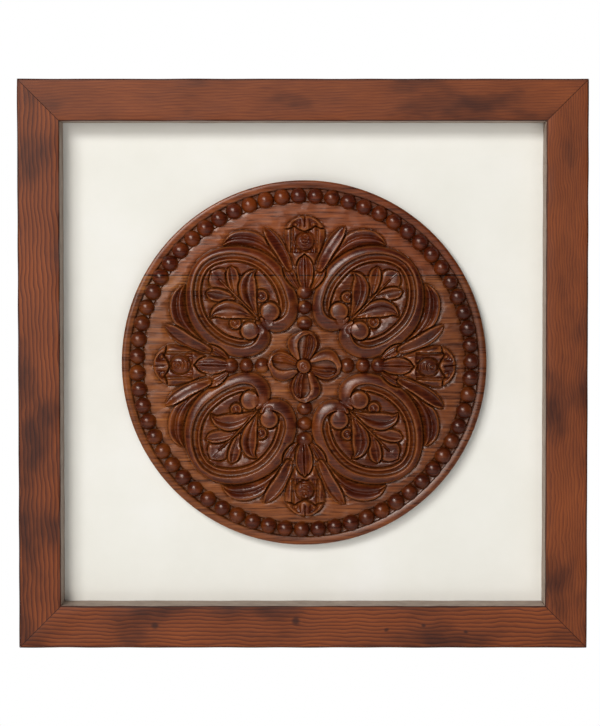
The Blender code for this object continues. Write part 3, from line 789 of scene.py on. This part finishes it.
solid = add_node(beads, "GeometryNodeRealizeInstances", None, {0: both.outputs[0]})
lumps = add_node(
    beads, "ShaderNodeTexNoise", {"Scale": LUMPS_PER_METRE, "Detail": 1.0},
    {"Vector": place.outputs[0]})
lump_centre = add_node(
    beads, "ShaderNodeVectorMath", {"operation": "SUBTRACT", 1: (0.5, 0.5, 0.5)},
    {0: lumps.outputs["Color"]})
lump_size = add_node(
    beads, "ShaderNodeVectorMath", {"operation": "SCALE"},
    {0: lump_centre.outputs[0], "Scale": start["Unevenness"]})
hand_cut = add_node(
    beads, "GeometryNodeSetPosition", None,
    {"Geometry": solid.outputs[0], "Offset": lump_size.outputs[0]})
upright = add_node(
    beads, "GeometryNodeTransform",
    {"Rotation": (QUARTER, 0.0, 0.0),
     "Translation": (CARVING_X, CARVING_BACK_Y - BEAD_MIDDLE, CARVING_Z)},
    {"Geometry": hand_cut.outputs[0]})
joined = add_node(
    beads, "GeometryNodeMeshBoolean", {"operation": "UNION", "solver": "MANIFOLD"},
    {"Mesh 2": start["Geometry"]})
beads.links.new(upright.outputs[0], joined.inputs["Mesh 2"])
real = add_node(beads, "GeometryNodeRealizeInstances", None, {0: joined.outputs[0]})
dress = add_node(
    beads, "GeometryNodeSetMaterial", None,
    {"Geometry": real.outputs[0], "Material": start["Wood"]})
add_node(beads, "NodeGroupOutput", None, {0: dress.outputs[0]})

bead_step = disc.modifiers.new("carved_beads", "NODES")
bead_step.node_group = beads
for name, value in bead_sizes.items():
    bead_step[sockets[name].identifier] = value
bead_step[sockets["Wood"].identifier] = carved_wood
medallion_mesh = bpy.data.meshes.new_from_object(
    disc.evaluated_get(bpy.context.evaluated_depsgraph_get()))
bpy.data.objects.remove(disc)
medallion_mesh.name = "carved_medallion_panel"


def blurred(grid, radius):
    """Box blur of a map, three times over, by running sums."""
    size = 2 * radius + 1
    for _ in range(3):
        for axis in (0, 1):
            margins = [(0, 0), (0, 0)]
            margins[axis] = (radius + 1, radius)
            sums = np.cumsum(np.pad(grid, margins, mode="edge"), axis=axis)
            past = np.take(sums, np.arange(size, sums.shape[axis]), axis=axis)
            before = np.take(sums, np.arange(0, sums.shape[axis] - size), axis=axis)
            grid = (past - before) / size
    return grid


# Colour attributes: stain with painted shade in the cuts, darker the deeper each point lies under
# its surroundings;
# wear with a painted highlight on the arrises, by how far a point stands out of them; and how
# high it is.
# The beads and the rim are laid on a copy of the map for this.
CHANNEL_FOOT, RIM_FOOT = 0.884, 0.957
RING_HALF, ARM_HALF = 0.046, 0.044
RING_SPRING, RING_RISE = 14.5, 5.0
ARM_SPRING, ARM_RISE = 13.5, 8.5
WIDE_BLUR, CLOSE_BLUR = 7, 2
WEAR_AND_HIGHLIGHT_WITHIN = 0.86
with_beads = height.copy()
ring_share = np.clip(1 - ((from_centre - RING_AT) / RING_HALF) ** 2, 0, 1)
ring_top = RING_SPRING + RING_RISE * np.sqrt(ring_share)
with_beads = np.where(ring_share > 0, ring_top, with_beads)
with_beads = np.where(from_centre > RIM_FOOT, RIM, with_beads)
for quarter in range(4):
    for number_out in range(3):
        place = ARM_FIRST + number_out * ARM_STEP
        spot, a, b = look((place, 0.0), 0.06, quarter * QUARTER)
        share = np.clip(1 - ((a - place) ** 2 + b ** 2) / ARM_HALF ** 2, 0, 1)
        arm_top = ARM_SPRING + ARM_RISE * np.sqrt(share)
        with_beads[spot] = np.maximum(with_beads[spot], arm_top)
count = len(medallion_mesh.vertices)
flat = np.empty(count * 3)
medallion_mesh.vertices.foreach_get("co", flat)
where = flat.reshape(-1, 3)
at_x = (where[:, 0] - CARVING_X) / RADIUS
at_y = (where[:, 2] - CARVING_Z) / RADIUS
rise_here = (CARVING_BACK_Y - where[:, 1]) * 1000
from_centre_here = np.hypot(at_x, at_y)
sunk = read_map(blurred(with_beads, WIDE_BLUR), at_x, at_y) - rise_here
proud = rise_here - read_map(blurred(with_beads, CLOSE_BLUR), at_x, at_y)
# Painted shade: dark bands at the inner foot of the bead ring's channel and at the foot of the
# rim.
ring_foot_shade = smooth((0.008 - np.abs(from_centre_here - CHANNEL_FOOT)) / 0.004)
ring_foot_shade *= rise_here < 14.6
rim_foot_shade = smooth((0.0055 - np.abs(from_centre_here - RIM_FOOT)) / 0.002) * (rise_here < 16.0)
stain_wear_and_painted_light = (
    ("cut_stain_and_shade", np.maximum(smooth((sunk - 0.2) / 4.0) * 0.5, 0.65 * (ring_foot_shade + rim_foot_shade))),
    ("arris_wear_and_highlight", smooth((proud - 0.5) / 1.1) * 0.6 * (from_centre_here < WEAR_AND_HIGHLIGHT_WITHIN)),
    ("level", smooth((rise_here - 15.0) / 2.5)),
)
for name, values in stain_wear_and_painted_light:
    layer = medallion_mesh.attributes.new(name, "FLOAT", "POINT")
    layer.data.foreach_set("value", values.astype(np.float32))
medallion_mesh.polygons.foreach_set("use_smooth", [True] * len(medallion_mesh.polygons))
medallion_mesh.set_sharp_from_angle(angle=math.radians(50))
medallion = bpy.data.objects.new("carved_medallion_panel", medallion_mesh)
bpy.context.scene.collection.objects.link(medallion)
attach(medallion, "root")
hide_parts("carved_medallion")


# Frame rails: four lengths of slab-sawn pine, mitred, glued, stained brown and waxed.
# The stain lies dark in the late wood, on the hand-eased arrises and at the mitres.
BACK_LAND = 0.033
REBATE_Y = -0.013
HALF_SIDE = (CAD_BOX[1][0] - CAD_BOX[0][0]) / 2
JOINT_GAP = 0.00015
WALL_GRAIN_PER_METRE = 60.0

# Grey-brown pine for the rails' inner walls, lighter and greyer than the stained faces.
inner_wall, tree, shader = new_material("grey_inner_wall_pine")
coords = add_node(tree, "ShaderNodeTexCoord")
wall_grain = add_node(
    tree, "ShaderNodeTexNoise",
    {"Scale": WALL_GRAIN_PER_METRE, "Detail": 4.0, "Roughness": 0.6},
    {"Vector": coords.outputs["Object"]})
wall_tone = add_node(tree, "ShaderNodeValToRGB", None, {"Fac": wall_grain.outputs["Fac"]})
fill_ramp(wall_tone, ((0.3, "8B7769"), (0.6, "9F8B7C"), (0.8, "AF9B8B")))
tree.links.new(wall_tone.outputs[0], shader.inputs["Base Color"])
shader.inputs["Roughness"].default_value = 0.6


WANDER_PER_METRE = (24.0, 38.0, 38.0)
FIBRES_PER_METRE = (40.0, 1400.0, 1400.0)
STAIN_CLOUDS_PER_METRE = (9.0, 20.0, 20.0)
WAVE_REPEAT = 2 * math.pi / 20
KNOT_DARK = 0.8


def stained_pine(name, turn, spacing, pith, lean, wave, seed, contrast, knots=()):
    """Slab-sawn pine along a rail: growth rings round a leaning pith, dark in late wood.

    Spacing is the ring width in metres, pith its place across and below the face. A knot is
    its place along and across the rail and its radius. WAVE_REPEAT is how far the Wave
    Texture runs between rings at a scale of 1.
    """
    made, tree, shader = new_material(name)
    coords = add_node(tree, "ShaderNodeTexCoord")
    turned = add_node(
        tree, "ShaderNodeMapping",
        {"vector_type": "TEXTURE", "Rotation": (0.0, -turn, 0.0),
         "Location": (0.0, 0.0, MIDDLE_Z)},
        {"Vector": coords.outputs["Object"]})
    moved = add_node(
        tree, "ShaderNodeMapping",
        {"Location": (seed * 0.7, -pith[1], -pith[0]), "Rotation": (lean[0], lean[1], lean[2])},
        {"Vector": turned.outputs[0]})
    stretch = add_node(
        tree, "ShaderNodeMapping",
        {"Scale": WANDER_PER_METRE, "Location": (seed, seed * 2, seed)},
        {"Vector": turned.outputs[0]})
    wander = add_node(
        tree, "ShaderNodeTexNoise", {"Scale": 1.0, "Detail": 2.5, "Roughness": 0.5},
        {"Vector": stretch.outputs[0]})
    centred = add_node(
        tree, "ShaderNodeVectorMath", {"operation": "SUBTRACT", 1: (0.5, 0.5, 0.5)},
        {0: wander.outputs["Color"]})
    pushed = add_node(
        tree, "ShaderNodeVectorMath", {"operation": "SCALE", "Scale": wave},
        {0: centred.outputs[0]})
    warped = add_node(
        tree, "ShaderNodeVectorMath", {"operation": "ADD"},
        {0: moved.outputs[0], 1: pushed.outputs[0]})
    uneven = add_node(
        tree, "ShaderNodeVectorMath", {"operation": "ADD"},
        {0: turned.outputs[0], 1: pushed.outputs[0]})
    rings = add_node(
        tree, "ShaderNodeTexWave",
        {"wave_type": "RINGS", "rings_direction": "X", "wave_profile": "SAW",
         "Scale": WAVE_REPEAT / spacing, "Distortion": 0.0},
        {"Vector": warped.outputs[0]})
    late = add_node(tree, "ShaderNodeValToRGB", None, {"Fac": rings.outputs["Fac"]})
    fill_ramp(
        late,
        ((0.0, "98501F"), (0.35, "8B451B"), (0.75, "662C12"), (0.93, "481D0D"),
         (1.0, "7F3A18")))
    fibre_map = add_node(
        tree, "ShaderNodeMapping", {"Scale": FIBRES_PER_METRE}, {"Vector": turned.outputs[0]})
    fibre = add_node(
        tree, "ShaderNodeTexNoise", {"Scale": 1.0, "Detail": 3.0, "Roughness": 0.6},
        {"Vector": fibre_map.outputs[0]})
    plain = add_node(tree, "ShaderNodeValToRGB", None, {"Fac": fibre.outputs["Fac"]})
    fill_ramp(plain, ((0.3, "70351A"), (0.5, "84421C"), (0.7, "965124")))
    figure = add_node(
        tree, "ShaderNodeMix", {"data_type": "RGBA", "Factor": contrast},
        {6: plain.outputs[0], 7: late.outputs[0]})
    cloud_map = add_node(
        tree, "ShaderNodeMapping",
        {"Scale": STAIN_CLOUDS_PER_METRE, "Location": (seed * 3, 0, seed)},
        {"Vector": turned.outputs[0]})
    cloud = add_node(
        tree, "ShaderNodeTexNoise", {"Scale": 1.0, "Detail": 3.0, "Roughness": 0.55},
        {"Vector": cloud_map.outputs[0]})
    cloud_tone = add_node(tree, "ShaderNodeValToRGB", None, {"Fac": cloud.outputs["Fac"]})
    fill_ramp(cloud_tone, ((0.32, "8A7E7E"), (0.48, "D8D3D0"), (0.7, "F2F0EE")))
    stained = add_node(
        tree, "ShaderNodeMix", {"data_type": "RGBA", "blend_type": "MULTIPLY", "Factor": 1.0},
        {6: figure.outputs[2], 7: cloud_tone.outputs[0]})
    tone = stained.outputs[2]
    for along, across, radius in knots:
        out = add_node(
            tree, "ShaderNodeVectorMath",
            {"operation": "DISTANCE", 1: (along, FRONT_Y, across)}, {0: uneven.outputs[0]})
        dark = add_node(
            tree, "ShaderNodeMapRange",
            {"interpolation_type": "SMOOTHSTEP", "From Min": radius, "From Max": radius * 0.3,
             "To Max": KNOT_DARK}, {"Value": out.outputs["Value"]})
        tone = add_node(
            tree, "ShaderNodeMix", {"data_type": "RGBA", 7: linear("2C110A")},
            {"Factor": dark.outputs[0], 6: tone}).outputs[2]
    arris = add_node(tree, "ShaderNodeAttribute", {"attribute_name": "arris"})
    edged = add_node(
        tree, "ShaderNodeMix", {"data_type": "RGBA", 7: linear("2A120C")},
        {"Factor": arris.outputs["Fac"], 6: tone})
    tree.links.new(edged.outputs[2], shader.inputs["Base Color"])
    shader.inputs["Roughness"].default_value = 0.55
    shader.inputs["Specular IOR Level"].default_value = 0.3
    bump = add_node(
        tree, "ShaderNodeBump", {"Strength": 0.3, "Distance": 0.0002},
        {"Height": fibre.outputs["Fac"]})
    tree.links.new(bump.outputs[0], shader.inputs["Normal"])
    return made


RAIL_SECTION = (
    (0.0, -0.0005), (0.0, -0.0420), (0.0, -0.0435), (0.0004, -0.0444), (0.0013, -0.0449),
    (0.0026, -0.0450),
    (0.0130, -0.0450), (0.0230, -0.0450), (0.0330, -0.0450), (0.0432, -0.0450),
    (0.0444, -0.0448), (0.0450, -0.0440), (0.0450, -0.0340), (0.0450, -0.0240),
    (0.0450, REBATE_Y), (BACK_LAND, REBATE_Y), (BACK_LAND, 0.0), (0.0005, 0.0),
)
WAVY_ARRIS = 0.00006
ARRIS_DARK = {2: 0.9, 3: 0.9, 4: 0.5, 10: 0.8, 11: 0.8}
WALL_FROM, WALL_TO = 11, 14
STATIONS = 120
MITRE_STATION, END_STATION = 0.997, 0.985
MITRE_DARK = 0.5
rail_draws = np.random.default_rng(5)


def make_rail(name, turn, wood, node):
    """Rail swept between its two mitres, with hand-eased, slightly wavy arrises."""
    verts = []
    waves = [(rail_draws.uniform(20, 120), rail_draws.uniform(0, 6.28)) for _ in range(5)]
    inner_shares = list(np.linspace(-END_STATION, END_STATION, STATIONS - 3))
    shares = [-1, -MITRE_STATION] + inner_shares + [MITRE_STATION, 1]
    darkness = []
    for share in shares:
        for at, (inset, depth) in enumerate(RAIL_SECTION):
            out = HALF_SIDE - inset
            along = share * (out - JOINT_GAP * math.sqrt(2))
            wobble = WAVY_ARRIS * sum(math.sin(along * k + p + at) for k, p in waves)
            if abs(share) == 1 or at > WALL_TO:
                wobble = 0.0
            out += wobble if at < 4 else -wobble
            x = along * math.cos(turn) - out * math.sin(turn)
            z = along * math.sin(turn) + out * math.cos(turn)
            verts.append((x, depth + (wobble if 4 < at < 10 else 0.0), z + MIDDLE_Z))
            darkness.append(max(ARRIS_DARK.get(at, 0.0), MITRE_DARK * (abs(share) == 1)))
    size = len(RAIL_SECTION)
    rail_faces = []
    walls = []
    for station in range(STATIONS):
        for at in range(size):
            nxt = (at + 1) % size
            near, far = station * size, (station + 1) * size
            rail_faces.append((near + at, near + nxt, far + nxt, far + at))
            walls.append(1 if WALL_FROM <= at < WALL_TO else 0)
    rail_faces.append(tuple(reversed(range(size))))
    rail_faces.append(tuple(STATIONS * size + k for k in range(size)))
    walls += [0, 0]
    rail = mesh_object(name, verts, rail_faces, wood)
    rail.data.materials.append(inner_wall)
    rail.data.polygons.foreach_set("material_index", walls)
    work = bmesh.new()
    work.from_mesh(rail.data)
    bmesh.ops.recalc_face_normals(work, faces=work.faces)
    work.to_mesh(rail.data)
    work.free()
    arris = rail.data.attributes.new("arris", "FLOAT", "POINT")
    arris.data.foreach_set("value", darkness)
    rail.data.set_sharp_from_angle(angle=math.radians(40))
    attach(rail, "root")
    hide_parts(node)
    return rail


pine_top = stained_pine(
    "stained_pine_top", 0.0, 0.0026, (0.19, 0.02), (0.0, 0.01, 0.02), 0.006, 3.1, 0.3)
pine_left = stained_pine(
    "stained_pine_left", QUARTER, 0.0043, (0.16, 0.0), (0.0, 0.02, 0.03), 0.009, 7.7, 0.8)
pine_bottom = stained_pine(
    "stained_pine_bottom", 2 * QUARTER, 0.0040, (0.17, 0.0), (0.0, -0.02, 0.02), 0.009, 5.2, 0.75,
    knots=((0.007, 0.276, 0.0065), (0.160, 0.281, 0.0055), (-0.090, 0.286, 0.0035),
           (-0.131, 0.279, 0.0030), (-0.175, 0.288, 0.0030)))
pine_right = stained_pine(
    "stained_pine_right", -QUARTER, 0.0024, (0.20, 0.02), (0.0, 0.05, -0.04), 0.011, 9.4, 0.45)
make_rail("pine_rail_top", 0.0, pine_top, "frame_rail_top")
make_rail("pine_rail_left", QUARTER, pine_left, "frame_rail_left")
make_rail("pine_rail_bottom", 2 * QUARTER, pine_bottom, "frame_rail_bottom")
make_rail("pine_rail_right", -QUARTER, pine_right, "frame_rail_right")


# Studio: white air, a plain pale floor well below, a large soft key light from the upper
# left, a smaller one from the left, a weak fill from the lower right and one behind.
floor_paint, tree, shader = new_material("pale_studio_floor")
shader.inputs["Base Color"].default_value = linear("E6E6E4")
shader.inputs["Roughness"].default_value = 0.8
FLOOR_Z = MIDDLE_Z - 1.25
studio_floor = mesh_object(
    "studio_floor",
    [(-4, -4, FLOOR_Z), (4, -4, FLOOR_Z), (4, 0.6, FLOOR_Z), (-4, 0.6, FLOOR_Z)],
    [(0, 1, 2, 3)], floor_paint, smooth=False)

studio_air = bpy.data.worlds.new("studio_air")
studio_air.use_nodes = True
bpy.context.scene.world = studio_air
tree = studio_air.node_tree
tree.nodes.clear()
path = add_node(tree, "ShaderNodeLightPath")
seen = add_node(tree, "ShaderNodeBackground", {"Color": (1, 1, 1, 1), "Strength": 1.0})
lit = add_node(tree, "ShaderNodeBackground", {"Color": (0.95, 0.97, 1.0, 1), "Strength": 0.07})
mixed = add_node(
    tree, "ShaderNodeMixShader", None,
    {0: path.outputs["Is Camera Ray"], 1: lit.outputs[0], 2: seen.outputs[0]})
add_node(tree, "ShaderNodeOutputWorld", None, {0: mixed.outputs[0]})


def add_light(name, place, size, power, colour, mirrored=True):
    """Area light at a place round the middle of the front, aimed at that middle."""
    data = bpy.data.lights.new(name, "AREA")
    data.shape = "RECTANGLE"
    data.size, data.size_y = size
    data.energy = power
    data.color = linear(colour)[:3]
    lamp = bpy.data.objects.new(name, data)
    lamp.location = (place[0], FRONT_Y + place[1], MIDDLE_Z + place[2])
    lamp.rotation_euler = Vector(place).to_track_quat("Z", "Y").to_euler()
    lamp.visible_glossy = mirrored
    bpy.context.scene.collection.objects.link(lamp)


add_light("key_light", (-2.2, -5.0, 2.6), (2.8, 1.6), 225, "FFFDFB")
add_light("side_light", (-1.3, -5.0, 0.75), (1.5, 1.5), 54, "FFF8F3")
add_light("fill_light", (0.55, -2.5, -0.8), (1.8, 1.8), 20, "FFFFFF", mirrored=False)
add_light("back_light", (0.8, 2.4, 1.0), (1.6, 1.6), 14, "FFFFFF")

bpy.context.scene.view_settings.view_transform = "Standard"
bpy.context.scene.view_settings.look = "None"
